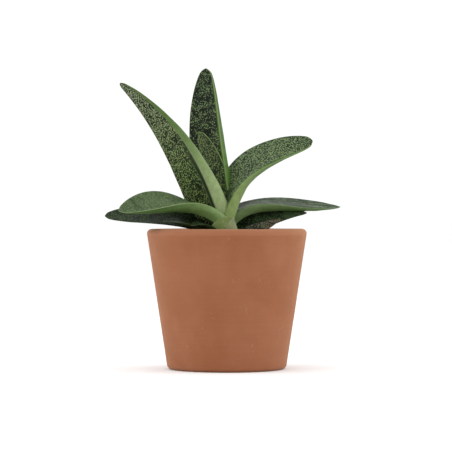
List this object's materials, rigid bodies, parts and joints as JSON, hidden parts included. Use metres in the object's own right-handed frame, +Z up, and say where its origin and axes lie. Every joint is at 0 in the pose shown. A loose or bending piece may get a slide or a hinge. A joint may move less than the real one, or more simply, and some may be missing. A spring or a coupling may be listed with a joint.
{
  "type": "potted gasteria",
  "caption": "Small succulent rosette of stiff, keeled, speckled leaves growing in soil in a plain tapered clay flower pot.",
  "frame": {"origin": "centre of the pot's round foot, on the surface that the pot stands on", "axes": "+Z up along the pot's axis; -Y towards the side that the front of the plant faces; +X to the right from there"},
  "size_m": [0.1565, 0.105, 0.1986],
  "materials": {
    "terracotta": "matte",
    "potting_mix": "matte",
    "stem_flesh": "matte",
    "leaf_flesh": "satin",
    "old_leaf": "matte"
  },
  "bodies": {
    "root": {"pot": "terracotta", "soil": "potting_mix", "stem": "stem_flesh", "leaf_centre_young": "leaf_flesh", "leaf_centre_tall": "leaf_flesh", "leaf_upper_left": "leaf_flesh", "leaf_upper_right": "leaf_flesh", "leaf_left_arched": "leaf_flesh", "leaf_right_long": "leaf_flesh", "leaf_back": "leaf_flesh", "leaf_left_low": "leaf_flesh", "leaf_right_under": "leaf_flesh", "leaf_back_low": "leaf_flesh", "leaf_left_small": "leaf_flesh", "leaf_front_short": "leaf_flesh", "leaf_right_withered": "old_leaf", "leaf_front_sheath": "old_leaf"}
  },
  "joints": []
}
